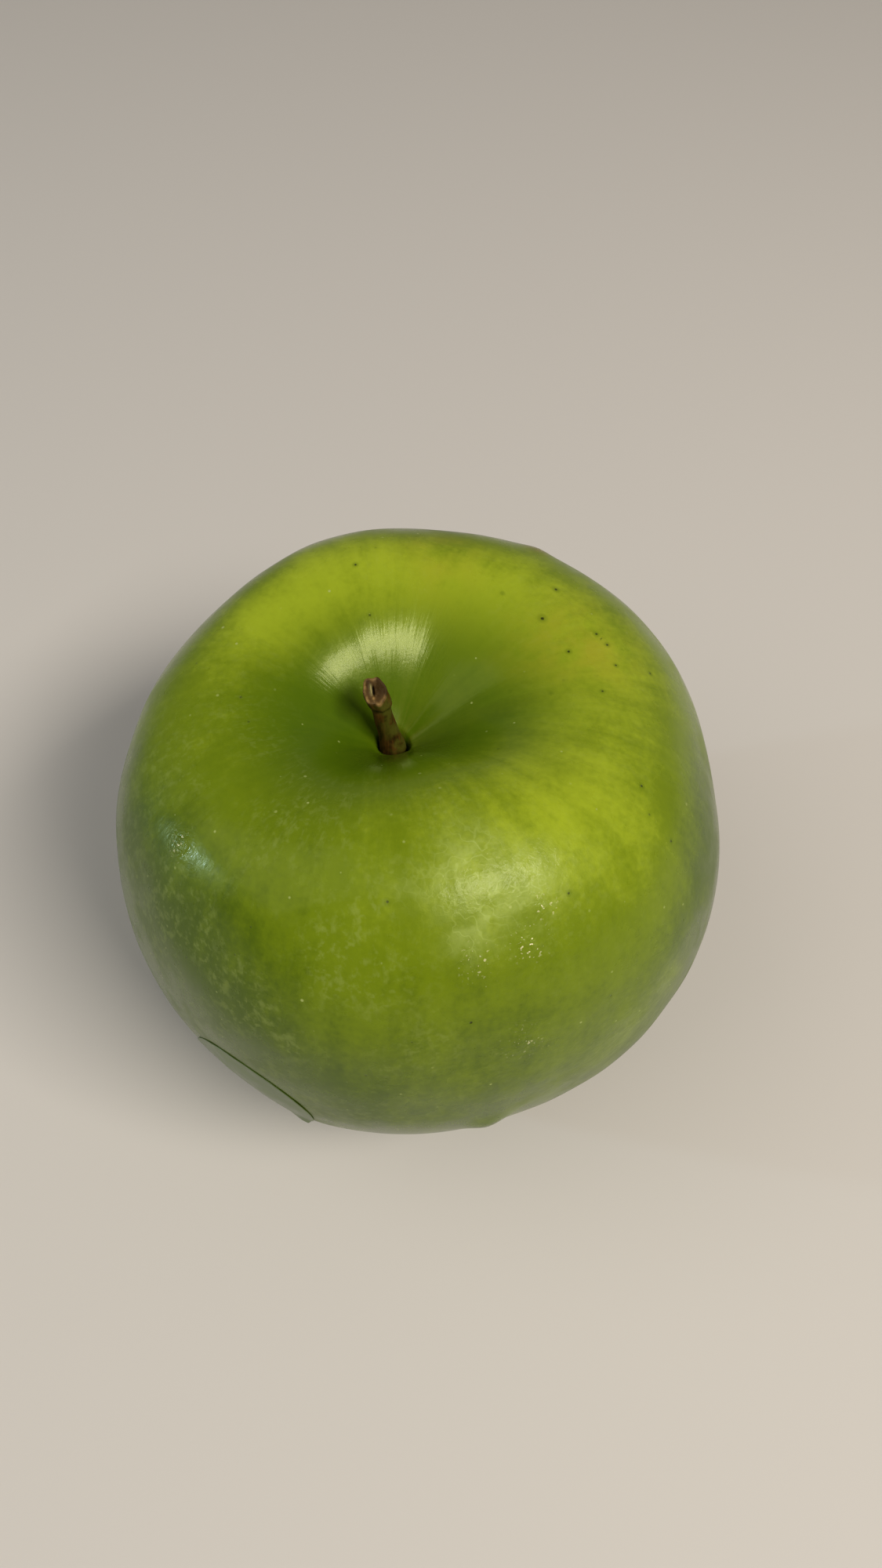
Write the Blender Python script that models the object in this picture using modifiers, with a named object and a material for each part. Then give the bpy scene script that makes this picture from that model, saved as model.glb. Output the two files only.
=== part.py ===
"""A green apple: the fruit, its cut stem, the dried calyx underneath and a small plain label.

Metres, +Z up. The apple stands on the flat spot round its calyx basin, at Z = 0. The origin is
on that plane, under the middle of the fruit. -Y is the front, and the label is on the front left.
"""

import math

import bmesh
import bpy
from mathutils import Matrix, Vector

# The fruit. Its radius is measured from a centre at the widest level.
HALF_WIDTH = 0.0400
CENTRE = Vector((0.0008, 0.0001, 0.03385))
CROWN_RISE = 0.0399  # from the centre to the top of the fruit, before the cavity is sunk
FOOT_DROP = 0.0410  # from the centre to the bottom of the fruit, before the basin is sunk
CROWN_FULLNESS = 2.28  # 2 is an ellipse, more is squarer
FOOT_FULLNESS = 1.90
FULLNESS_BAND = 0.35  # how gradually one fullness gives way to the other

# The stem cavity on top and the calyx basin underneath, each sunk by a bell-shaped dip.
CAVITY_DEPTH = 0.0209
CAVITY_REACH = 0.50  # radians from the pole
CAVITY_POWER = 1.90
VALLEY_STRETCH = 0.20  # the cavity reaches further along its valley than across it
VALLEY_ANGLE = math.radians(20)
CROWN_SHIFT = -0.0045  # the crown sits left of the middle
CROWN_SHIFT_REACH = 0.80
BASIN_DEPTH = 0.0150
BASIN_REACH = 0.355
BASIN_POWER = 2.3

# Swellings round the fruit: how many, how high as a share of the radius, and where in degrees.
SIDE_LOBES = ((2, 0.034, 46.5), (3, 0.009, 65.0), (4, 0.003, 53.0), (5, 0.010, 42.0))
FOOT_LOBES = (5, 0.016, 20.0)
FOOT_LOBE_LEVEL = -0.55  # they come in below this share of the height
FOOT_LOBE_BAND = 0.25
CROWN_TILT = 0.065  # one shoulder stands higher than the other
CROWN_TILT_ANGLE = math.radians(180)

# The fruit's mesh
MERIDIANS = 72
RINGS = 56
POLE_CROWDING = 0.45  # the rings lie closer together near the poles
TRIM_BLOCK = 0.1  # the block that trims the foot flat

GAP = 0.0003  # between pieces that touch

# The stem: distance up from the cavity floor, sideways lean, forward lean, and radius
STEM_COURSE = (
    (-0.0045, 0.0000, 0.0000, 0.00150),
    (-0.0015, 0.0000, 0.0000, 0.00165),
    (0.0008, -0.0001, 0.0001, 0.00160),
    (0.0030, -0.0005, 0.0002, 0.00136),
    (0.0055, -0.0010, 0.0002, 0.00126),
    (0.0080, -0.0014, 0.0002, 0.00128),
    (0.0100, -0.0018, 0.0001, 0.00146),
    (0.0112, -0.0020, 0.0000, 0.00136),
)
SOCKET_RADIUS = 0.00165 + GAP
SOCKET_DEPTH = 0.0045 + GAP
SOCKET_SIDES = 32

# The dried calyx
SEPAL_COUNT = 5
SEPAL_LENGTH = 0.0050
SEPAL_WIDTH = 0.0042
SEPAL_THICKNESS = 0.00035
SEPAL_RING = 0.0042  # radius of the ring that the sepals stand on
SEPAL_CLOSING = 0.0022  # how far they lean in over the tuft before their tips turn out
SEPAL_ROWS = 5
SEPAL_COLUMNS = 2
TUFT_RADIUS = 0.0011
TUFT_LENGTH = 0.0040
TUFT_SIDES = 16

# The label
LABEL_RADIUS = 0.0092
LABEL_THICKNESS = 0.0002
LABEL_AZIMUTH = math.radians(236)
LABEL_POLAR = math.radians(101)
LABEL_CELLS = 12


def clear_scene():
    """Removes every object of the scene that the script starts in."""
    for item in list(bpy.data.objects):
        bpy.data.objects.remove(item, do_unlink=True)


def new_collection(name):
    """A collection of the scene, for the parts or for the cutters."""
    collection = bpy.data.collections.new(name)
    bpy.context.scene.collection.children.link(collection)
    return collection


def make_material(name, colour, roughness):
    """A plain Principled material."""
    material = bpy.data.materials.new(name)
    material.use_nodes = True
    shader = material.node_tree.nodes["Principled BSDF"]
    shader.inputs["Base Color"].default_value = (*colour, 1.0)
    shader.inputs["Roughness"].default_value = roughness
    shader.inputs["Metallic"].default_value = 0.0
    return material


def add_object(name, mesh_tool, collection, material=None):
    """Turns a bmesh into a smooth-shaded object of the given name."""
    bmesh.ops.recalc_face_normals(mesh_tool, faces=mesh_tool.faces)
    mesh = bpy.data.meshes.new(name)
    mesh_tool.to_mesh(mesh)
    mesh_tool.free()
    mesh.shade_smooth()
    item = bpy.data.objects.new(name, mesh)
    collection.objects.link(item)
    if material:
        mesh.materials.append(material)
    return item


def rise_above(level, start, band):
    """0 well below the start, 1 well above it, with a soft step between."""
    return 0.5 * (1.0 + math.tanh((level - start) / band))


def lobe(count, height, degrees, azimuth):
    """A wave of swellings round the fruit."""
    return height * math.cos(count * (azimuth - math.radians(degrees)))


def fruit_radius(polar, azimuth):
    """Distance from the centre to the skin. The polar angle is 0 at the stem."""
    across, level = abs(math.sin(polar)), math.cos(polar)
    height = CROWN_RISE if level > 0 else FOOT_DROP
    crown_share = rise_above(level, 0.0, FULLNESS_BAND)
    fullness = FOOT_FULLNESS + (CROWN_FULLNESS - FOOT_FULLNESS) * crown_share
    outline = (across / HALF_WIDTH) ** fullness + (abs(level) / height) ** fullness
    envelope = outline ** (-1.0 / fullness)

    foot_share = 1.0 - rise_above(level, FOOT_LOBE_LEVEL, FOOT_LOBE_BAND)
    side_share = across**2 * (1.0 - foot_share)
    swelling = 1.0 + side_share * sum(lobe(*side, azimuth) for side in SIDE_LOBES)
    swelling += across * foot_share * lobe(*FOOT_LOBES, azimuth)
    tilt_share = across * max(level, 0.0) ** 2
    swelling += CROWN_TILT * tilt_share * math.cos(azimuth - CROWN_TILT_ANGLE)

    along_valley = math.cos(2.0 * (azimuth - VALLEY_ANGLE))
    cavity_reach = CAVITY_REACH * (1.0 + VALLEY_STRETCH * along_valley)
    cavity = CAVITY_DEPTH * math.exp(-((polar / cavity_reach) ** CAVITY_POWER))
    basin = BASIN_DEPTH * math.exp(-(((math.pi - polar) / BASIN_REACH) ** BASIN_POWER))
    return envelope * swelling - cavity - basin


def skin_point(polar, azimuth):
    """The point of the skin in the direction given by the two angles."""
    radius = fruit_radius(polar, azimuth)
    side_shift = CROWN_SHIFT * math.exp(-((polar / CROWN_SHIFT_REACH) ** 2))
    across = radius * math.sin(polar)
    x = across * math.cos(azimuth) + side_shift
    y = across * math.sin(azimuth)
    return CENTRE + Vector((x, y, radius * math.cos(polar)))


def angles_of(direction):
    """The polar angle and azimuth of a direction."""
    polar = math.acos(max(-1.0, min(1.0, direction.z / direction.length)))
    return polar, math.atan2(direction.y, direction.x)


def crowd_towards_poles(polar):
    """Moves a ring's polar angle so that the rings crowd together near the poles."""
    share = polar / math.pi
    return math.pi * (share - POLE_CROWDING * math.sin(2.0 * math.pi * share) / (2.0 * math.pi))


def cavity_floor():
    """The lowest point of the stem cavity, where the stem stands."""
    return skin_point(0.0, 0.0)


def basin_floor():
    """The highest point of the calyx basin, where the calyx sits."""
    return skin_point(math.pi, 0.0)


def make_trim_block(cutters):
    """A block whose top face is the plane that the apple stands on."""
    block = bmesh.new()
    bmesh.ops.create_cube(block, size=TRIM_BLOCK)
    bmesh.ops.translate(block, verts=block.verts, vec=(0.0, 0.0, -TRIM_BLOCK / 2.0))
    return add_object("foot_trim", block, cutters)


def make_socket_cutter(cutters):
    """A cylinder that opens the blind hole for the stem's foot."""
    floor = cavity_floor()
    cylinder = bmesh.new()
    bmesh.ops.create_cone(
        cylinder,
        cap_ends=True,
        segments=SOCKET_SIDES,
        radius1=SOCKET_RADIUS,
        radius2=SOCKET_RADIUS,
        depth=2.0 * SOCKET_DEPTH,
    )
    bmesh.ops.translate(cylinder, verts=cylinder.verts, vec=floor)
    return add_object("stem_socket", cylinder, cutters)


def cut(item, cutter):
    """Takes the cutter's shape out of the item."""
    cutter.hide_render = True
    cutter.display_type = "WIRE"
    boolean = item.modifiers.new(cutter.name, "BOOLEAN")
    boolean.operation = "DIFFERENCE"
    boolean.solver = "EXACT"
    boolean.object = cutter


def make_fruit(parts, cutters):
    """The flesh and skin, one solid: a sphere drawn out to the apple's radius in each direction."""
    sphere = bmesh.new()
    bmesh.ops.create_uvsphere(sphere, u_segments=MERIDIANS, v_segments=RINGS, radius=1.0)
    for vertex in sphere.verts:
        polar, azimuth = angles_of(vertex.co)
        vertex.co = skin_point(crowd_towards_poles(polar), azimuth)
    skin = make_material("apple_skin", (0.30, 0.42, 0.03), 0.32)
    fruit = add_object("fruit_body", sphere, parts, skin)
    cut(fruit, make_trim_block(cutters))
    cut(fruit, make_socket_cutter(cutters))


def make_stem(parts):
    """The woody stem: a round bar along a slightly bent course, thicker at its foot and its cut end."""
    course = bpy.data.curves.new("stem", "CURVE")
    course.dimensions = "3D"
    course.bevel_depth = 1.0
    course.bevel_resolution = 4
    course.use_fill_caps = True
    spline = course.splines.new("POLY")
    spline.points.add(len(STEM_COURSE) - 1)
    floor = cavity_floor()
    for point, (rise, sideways, forward, radius) in zip(spline.points, STEM_COURSE):
        place = floor + Vector((sideways, forward, rise))
        point.co = (*place, 1.0)
        point.radius = radius
    course.materials.append(make_material("stem_wood", (0.10, 0.05, 0.015), 0.70))
    parts.objects.link(bpy.data.objects.new("stem", course))


def make_sepal_mesh():
    """One sepal as an open leaf, standing up from the origin and leaning towards -X."""
    leaf = bmesh.new()
    bmesh.ops.create_grid(leaf, x_segments=SEPAL_COLUMNS, y_segments=SEPAL_ROWS, size=0.5)
    for vertex in leaf.verts:
        along = vertex.co.y + 0.5
        aside = vertex.co.x
        width = SEPAL_WIDTH * (1.0 - 0.75 * along**1.5)
        lean = SEPAL_CLOSING * math.sin(math.pi * 0.75 * along)
        vertex.co = Vector((-lean, aside * width, SEPAL_LENGTH * along))
    bmesh.ops.recalc_face_normals(leaf, faces=leaf.faces)
    mesh = bpy.data.meshes.new("sepal")
    leaf.to_mesh(mesh)
    leaf.free()
    mesh.shade_smooth()
    mesh.materials.append(make_material("dried_sepal", (0.16, 0.10, 0.04), 0.85))
    return mesh


def make_sepals(parts):
    """Five dried sepals in a ring on the floor of the basin, hanging down."""
    mesh = make_sepal_mesh()
    floor = basin_floor()
    for number in range(SEPAL_COUNT):
        angle = 2.0 * math.pi * number / SEPAL_COUNT
        sepal = bpy.data.objects.new(f"sepal_{number + 1}", mesh)
        outwards = Vector((math.cos(angle), math.sin(angle), 0.0))
        base = floor + SEPAL_RING * outwards
        base.z = skin_height_over(base) - 2.0 * GAP
        sepal.matrix_world = (
            Matrix.Translation(base) @ Matrix.Rotation(angle, 4, "Z") @ Matrix.Rotation(math.pi, 4, "X")
        )
        shell = sepal.modifiers.new("thickness", "SOLIDIFY")
        shell.thickness = SEPAL_THICKNESS
        shell.offset = 0.0
        softening = sepal.modifiers.new("softening", "SUBSURF")
        softening.levels = 1
        softening.render_levels = 1
        parts.objects.link(sepal)


def skin_height_over(place):
    """The height of the basin's skin straight over a place under it."""
    floor = basin_floor()
    reach = math.hypot(place.x - floor.x, place.y - floor.y)
    azimuth = math.atan2(place.y - floor.y, place.x - floor.x)
    below_centre = CENTRE.z - floor.z
    return skin_point(math.pi - math.atan2(reach, below_centre), azimuth).z


def make_stamen_tuft(parts):
    """The dried stamens and styles, taken together as one small tapered tuft."""
    tuft = bmesh.new()
    bmesh.ops.create_cone(
        tuft,
        cap_ends=True,
        segments=TUFT_SIDES,
        radius1=TUFT_RADIUS / 2.0,
        radius2=TUFT_RADIUS,
        depth=TUFT_LENGTH,
    )
    top = basin_floor().z - GAP
    bmesh.ops.translate(tuft, verts=tuft.verts, vec=(CENTRE.x, CENTRE.y, top - TUFT_LENGTH / 2.0))
    add_object("stamen_tuft", tuft, parts, make_material("dried_stamens", (0.09, 0.06, 0.03), 0.90))


def make_label(parts):
    """A small round film on the skin: a grid rounded to a disc and laid on the fruit."""
    middle = Vector(
        (
            math.sin(LABEL_POLAR) * math.cos(LABEL_AZIMUTH),
            math.sin(LABEL_POLAR) * math.sin(LABEL_AZIMUTH),
            math.cos(LABEL_POLAR),
        )
    )
    sideways = Vector((-math.sin(LABEL_AZIMUTH), math.cos(LABEL_AZIMUTH), 0.0))
    upwards = middle.cross(sideways)
    spread = LABEL_RADIUS / fruit_radius(LABEL_POLAR, LABEL_AZIMUTH)
    film = bmesh.new()
    bmesh.ops.create_grid(film, x_segments=LABEL_CELLS, y_segments=LABEL_CELLS, size=1.0)
    for vertex in film.verts:
        x, y = vertex.co.x, vertex.co.y
        right = x * math.sqrt(1.0 - y * y / 2.0)
        up = y * math.sqrt(1.0 - x * x / 2.0)
        direction = middle + spread * (right * sideways + up * upwards)
        point = skin_point(*angles_of(direction))
        vertex.co = point + GAP * direction.normalized()
    label = add_object("skin_label", film, parts, make_material("label_film", (0.22, 0.34, 0.08), 0.45))
    shell = label.modifiers.new("thickness", "SOLIDIFY")
    shell.thickness = LABEL_THICKNESS
    shell.offset = 1.0


def main():
    clear_scene()
    parts = new_collection("green_apple")
    cutters = new_collection("cutters")
    make_fruit(parts, cutters)
    make_stem(parts)
    make_sepals(parts)
    make_stamen_tuft(parts)
    make_label(parts)


main()
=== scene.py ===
"""The looks of a green apple: waxed skin, woody stem, dried calyx and a plain round label.

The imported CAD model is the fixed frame, in metres, +Z up, with -Y as the front. Each CAD node is
replaced by a finer piece that sits where the node is. Every surface is worked out with numpy.
"""

import logging
import math
from dataclasses import dataclass, field
from enum import Enum
from functools import reduce

import bpy
import numpy as np
from mathutils import Matrix, Vector


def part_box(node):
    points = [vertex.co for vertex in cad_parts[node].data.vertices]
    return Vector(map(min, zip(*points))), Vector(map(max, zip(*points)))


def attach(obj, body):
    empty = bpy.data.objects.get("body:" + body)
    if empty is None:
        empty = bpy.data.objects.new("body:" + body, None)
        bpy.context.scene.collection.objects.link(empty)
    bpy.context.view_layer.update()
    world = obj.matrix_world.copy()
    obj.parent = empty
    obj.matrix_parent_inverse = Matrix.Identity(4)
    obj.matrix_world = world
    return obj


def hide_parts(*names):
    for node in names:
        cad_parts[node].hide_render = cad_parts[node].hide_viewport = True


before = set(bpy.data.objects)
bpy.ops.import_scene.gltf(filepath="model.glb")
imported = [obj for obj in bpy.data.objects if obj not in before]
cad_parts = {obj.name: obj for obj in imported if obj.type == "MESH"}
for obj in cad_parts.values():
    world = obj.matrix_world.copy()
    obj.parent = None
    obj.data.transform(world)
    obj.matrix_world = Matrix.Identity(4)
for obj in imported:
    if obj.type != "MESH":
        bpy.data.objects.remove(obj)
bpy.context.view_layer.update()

logging.basicConfig(level=logging.INFO, format="%(message)s")
LOG = logging.getLogger("apple")

MM = 0.001
TURN = 2.0 * math.pi
BODY = "root"

Array = np.ndarray
Socket = bpy.types.NodeSocket
Sockets = dict[str, Socket]
Value = Socket | float | str | tuple[float, ...]


# --- Numbers and noise ---


def smooth_step(value: Array, start: float, end: float) -> Array:
    """Rises softly from 0 at start to 1 at end.

    Args:
        value: The numbers to map.
        start: Where the rise begins.
        end: Where it is complete. It may be less than start.

    Returns:
        t * t * (3 - 2 t), where t runs from 0 to 1 between start and end.
    """
    share = np.clip((value - start) / (end - start), 0.0, 1.0)
    return share * share * (3.0 - 2.0 * share)


def bell(distance: Array, reach: float, power: float = 2.0) -> Array:
    """A bell of height 1.

    Args:
        distance: Distance from the middle of the bell.
        reach: The distance at which the bell has fallen to 1 / e.
        power: 2 is a normal bell, less is more pointed.

    Returns:
        exp(-(distance / reach) ** power).
    """
    return np.exp(-((np.abs(distance) / reach) ** power))


def through_stations(stations: Array, values: Array, at: Array) -> Array:
    """A smooth curve through a few stations.

    Args:
        stations: Rising positions of the stations.
        values: The value at each station.
        at: The positions where the curve is read.

    Returns:
        The cubic between each two stations whose slopes are the mean slopes round them.
    """
    slopes = np.gradient(values, stations)
    left = np.clip(np.searchsorted(stations, at, side="right") - 1, 0, len(stations) - 2)
    span = stations[left + 1] - stations[left]
    share = (at - stations[left]) / span
    ease = share * share * (3.0 - 2.0 * share)
    leave = share * (1.0 - share) ** 2 * span * slopes[left]
    arrive = share**2 * (share - 1.0) * span * slopes[left + 1]
    return values[left] + (values[left + 1] - values[left]) * ease + leave + arrive


@dataclass(frozen=True)
class WaveNoise:
    """Smooth random relief: a sum of plane waves that run in random directions."""

    wavelength: float
    seed: int
    spread: float = 0.4
    waves: int = 28

    def at(self, points: Array) -> Array:
        """Reads the relief.

        Args:
            points: Places, with the three coordinates on the last axis.

        Returns:
            The sum of cos(k . p + phase) over the waves, scaled to a mean square of 1.
        """
        draw = np.random.default_rng(self.seed)
        directions = draw.normal(size=(self.waves, 3))
        directions /= np.linalg.norm(directions, axis=1, keepdims=True)
        lengths = self.wavelength * (1.0 + self.spread * draw.uniform(-1.0, 1.0, self.waves))
        phases = draw.uniform(0.0, TURN, self.waves)
        angles = points @ (directions * (TURN / lengths)[:, None]).T + phases
        return np.cos(angles).sum(axis=-1) * math.sqrt(2.0 / self.waves)


def direction_of(polar: Array, azimuth: Array) -> Array:
    """The unit vector with a polar angle from +Z and an azimuth from +X."""
    across = np.sin(polar)
    return np.stack([across * np.cos(azimuth), across * np.sin(azimuth), np.cos(polar)], axis=-1)


def round_angles(count: int) -> Array:
    """The given number of even steps round a full turn."""
    return TURN * np.arange(count) / count


def wrapped(angle: Array) -> Array:
    """The same angle, between -pi and pi."""
    return np.angle(np.exp(1j * angle))


def spiral(angle: Array, along: Array) -> Array:
    """Coordinates for noise that runs without a seam round an axis, and along it."""
    return np.stack([np.cos(angle), np.sin(angle), along], axis=-1)


def angles_of(direction: Array) -> tuple[Array, Array]:
    """The polar angle and azimuth of directions of any length."""
    length = np.linalg.norm(direction, axis=-1)
    polar = np.arccos(np.clip(direction[..., 2] / length, -1.0, 1.0))
    return polar, np.arctan2(direction[..., 1], direction[..., 0])


# --- Meshes ---


def closed_lattice(points: Array) -> tuple[Array, list[list[int]]]:
    """Turns a grid that is closed round its columns into a closed skin.

    The first and last rows are single points, so each is kept once and joined by triangles. All
    other rows are joined to the next by quads, and the last column to the first.

    Args:
        points: The grid, as rows by columns by 3, running so that faces point outwards when the
            rows go down and the columns go round anticlockwise seen from the first row's end.

    Returns:
        The vertices, and the faces as lists of vertex numbers.
    """
    rows, columns = points.shape[:2]
    inner = points[1:-1].reshape(-1, 3)
    vertices = np.concatenate([points[:1, 0], inner, points[-1:, 0]])
    numbers = 1 + np.arange((rows - 2) * columns).reshape(rows - 2, columns)
    onward = np.roll(numbers, -1, axis=1)
    quads = np.stack([numbers[:-1], numbers[1:], onward[1:], onward[:-1]], axis=-1)
    first = np.stack([np.zeros(columns, int), numbers[0], onward[0]], axis=-1)
    last = np.stack([np.full(columns, len(vertices) - 1), onward[-1], numbers[-1]], axis=-1)
    return vertices, first.tolist() + quads.reshape(-1, 4).tolist() + last.tolist()


def end_row(point: Array, columns: int) -> Array:
    """A grid's first or last row: one point that closes its end, once for each column."""
    return np.repeat(point[None, None], columns, axis=1)


def lattice_values(values: Array) -> Array:
    """The values of a grid in the order of closed_lattice's vertices."""
    tail = values.shape[2:]
    return np.concatenate([values[:1, 0], values[1:-1].reshape(-1, *tail), values[-1:, 0]])


def make_piece(
    name: str,
    vertices: Array,
    faces: list[list[int]],
    material: bpy.types.Material,
    attributes: dict[str, Array] | None = None,
) -> bpy.types.Object:
    """Makes a smooth-shaded mesh object at the origin.

    Args:
        name: The piece's name.
        vertices: One row of three coordinates for each vertex.
        faces: The faces, as vertex numbers.
        material: What it is made of.
        attributes: Values for each vertex, by name, either single numbers or vectors.

    Returns:
        The new object, linked to the scene.
    """
    mesh = bpy.data.meshes.new(name)
    mesh.from_pydata(vertices.tolist(), [], faces)
    for label, values in (attributes or {}).items():
        kind, key = ("FLOAT", "value") if values.ndim == 1 else ("FLOAT_VECTOR", "vector")
        data = mesh.attributes.new(label, kind, "POINT").data
        data.foreach_set(key, np.ascontiguousarray(values, np.float32).ravel())
    mesh.shade_smooth()
    mesh.materials.append(material)
    mesh.validate()
    piece = bpy.data.objects.new(name, mesh)
    bpy.context.scene.collection.objects.link(piece)
    return piece


def settle(piece: bpy.types.Object, slot: str, *nodes: str) -> None:
    """Fixes a finished piece to the CAD body, in place of CAD nodes."""
    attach(piece, BODY)
    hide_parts(*nodes)
    LOG.info("%s: %d faces, for %s", piece.name, len(piece.data.polygons), ", ".join(nodes))


# --- Materials ---


def linear(colour: str) -> tuple[float, float, float, float]:
    """Turns an sRGB colour such as #8FA02A to the linear RGBA that a shader takes."""
    parts = [int(colour[start : start + 2], 16) / 255.0 for start in (1, 3, 5)]
    decoded = [((part + 0.055) / 1.055) ** 2.4 if part > 0.04045 else part / 12.92 for part in parts]
    return (*decoded, 1.0)


def per_metre(size_mm: float) -> float:
    """The scale of a pattern on Object coordinates whose features are size_mm apart."""
    return 1000.0 / size_mm


class Kind(Enum):
    """The kinds of node in use: type, fixed setting, inputs in the order given, and output.

    The Mix node repeats its sockets for each type of data. 6, 7 and 2 are those for colours.
    """

    PLACE = ("ShaderNodeTexCoord", {}, (), "Object")
    FIELD = ("ShaderNodeAttribute", {}, (), "Fac")
    VECTOR_FIELD = ("ShaderNodeAttribute", {}, (), "Vector")
    STRETCH = ("ShaderNodeMapping", {}, ("Vector", "Scale"), "Vector")
    NOISE = ("ShaderNodeTexNoise", {}, ("Vector", "Scale", "Detail", "Roughness"), "Fac")
    REMAP = (
        "ShaderNodeMapRange",
        {"interpolation_type": "SMOOTHSTEP"},
        ("Value", "From Min", "From Max", "To Min", "To Max"),
        "Result",
    )
    LAYER = ("ShaderNodeMix", {"data_type": "RGBA"}, (0, 6, 7), 2)
    LENGTH = ("ShaderNodeVectorMath", {"operation": "LENGTH"}, (0,), "Value")
    ADD = ("ShaderNodeMath", {"operation": "ADD"}, (0, 1), 0)
    SUBTRACT = ("ShaderNodeMath", {"operation": "SUBTRACT"}, (0, 1), 0)
    MULTIPLY = ("ShaderNodeMath", {"operation": "MULTIPLY"}, (0, 1), 0)
    DIVIDE = ("ShaderNodeMath", {"operation": "DIVIDE"}, (0, 1), 0)
    MULTIPLY_ADD = ("ShaderNodeMath", {"operation": "MULTIPLY_ADD"}, (0, 1, 2), 0)
    ABSOLUTE = ("ShaderNodeMath", {"operation": "ABSOLUTE"}, (0,), 0)
    MAXIMUM = ("ShaderNodeMath", {"operation": "MAXIMUM"}, (0, 1), 0)
    BUMP = ("ShaderNodeBump", {}, ("Height", "Distance", "Strength"), "Normal")


@dataclass
class Graph:
    """A new material, as a graph of nodes that ends in its Principled shader."""

    name: str

    def __post_init__(self) -> None:
        """Makes the material."""
        self.material = bpy.data.materials.new(self.name)
        self.material.use_nodes = True
        self.tree = self.material.node_tree

    def feed(self, node: bpy.types.Node, values: dict) -> None:
        """Sets a node's inputs.

        Args:
            node: The node.
            values: For each input, a socket that is linked to it, an sRGB hex value that is
                turned to linear, or a plain value.
        """
        for key, value in values.items():
            if isinstance(value, Socket):
                self.tree.links.new(value, node.inputs[key])
            else:
                node.inputs[key].default_value = linear(value) if isinstance(value, str) else value

    def add_node(self, kind: Kind, *values: Value, **settings) -> Socket:
        """Adds a node with its settings and links.

        Args:
            kind: What kind of node it is.
            values: What its inputs take, in the kind's order. Those left out keep their defaults.
            settings: Its own properties.

        Returns:
            The node's output.
        """
        type_name, fixed, inputs, output = kind.value
        node = self.tree.nodes.new(type_name)
        for key, value in (fixed | settings).items():
            setattr(node, key, value)
        self.feed(node, dict(zip(inputs, values)))
        return node.outputs[output]

    def chain(self, kind: Kind, *values: Value) -> Socket:
        """Joins any number of values by a kind of node that takes two."""
        return reduce(lambda left, right: self.add_node(kind, left, right), values)

    def worms(self, noise: Socket, width: float, strength: float = 1.0) -> Socket:
        """Thin winding lines, where a noise is within width of its middle value."""
        off_middle = self.add_node(Kind.ABSOLUTE, self.add_node(Kind.SUBTRACT, noise, 0.5))
        return self.add_node(Kind.REMAP, off_middle, 0.0, width, strength, 0.0)

    def shade(self, base: str, values: dict) -> bpy.types.Material:
        """Sets up the shader.

        Args:
            base: The plain colour that stands for the whole, as an sRGB hex value.
            values: What its inputs take, as for feed.

        Returns:
            The finished material.
        """
        shader = self.tree.nodes["Principled BSDF"]
        self.feed(shader, {"Base Color": base})
        self.feed(shader, values)
        return self.material


# --- The fruit ---


@dataclass(frozen=True)
class Lobe:
    """A swelling that comes back a few times round the fruit."""

    count: int
    height: float
    angle: float

    def at(self, azimuth: Array) -> Array:
        """height * cos(count * (azimuth - angle)), with the angle kept in degrees."""
        return self.height * np.cos(self.count * (azimuth - math.radians(self.angle)))


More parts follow.
